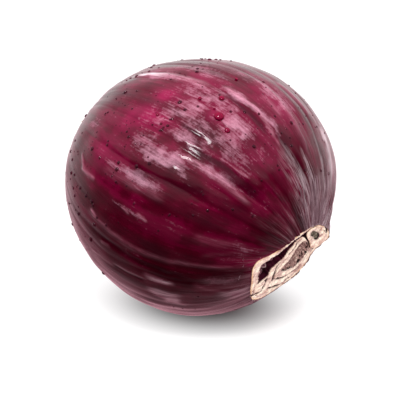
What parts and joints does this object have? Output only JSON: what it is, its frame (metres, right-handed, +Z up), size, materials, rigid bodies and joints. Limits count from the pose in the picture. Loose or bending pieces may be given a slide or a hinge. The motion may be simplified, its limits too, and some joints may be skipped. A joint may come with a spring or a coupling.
{
  "type": "red onion",
  "caption": "Whole ribbed red onion lying on its side, its neck cut off flat and its root plate left on, resting on a small flat spot.",
  "frame": {"origin": "middle of the small flat spot on the underside that the bulb rests on", "axes": "+Z up, -Z is the outward normal of the flat spot, +X level towards the cut neck, +Y level across the bulb"},
  "size_m": [0.0791, 0.0865, 0.0762],
  "materials": {
    "skin": "wet, glossy maroon skin with a waxy bloom",
    "cut_flesh": "damp cream and pink cut flesh",
    "root_cork": "dry, rough cork",
    "water": "clear drops"
  },
  "bodies": {
    "root": {"bulb": "skin"}
  },
  "joints": []
}
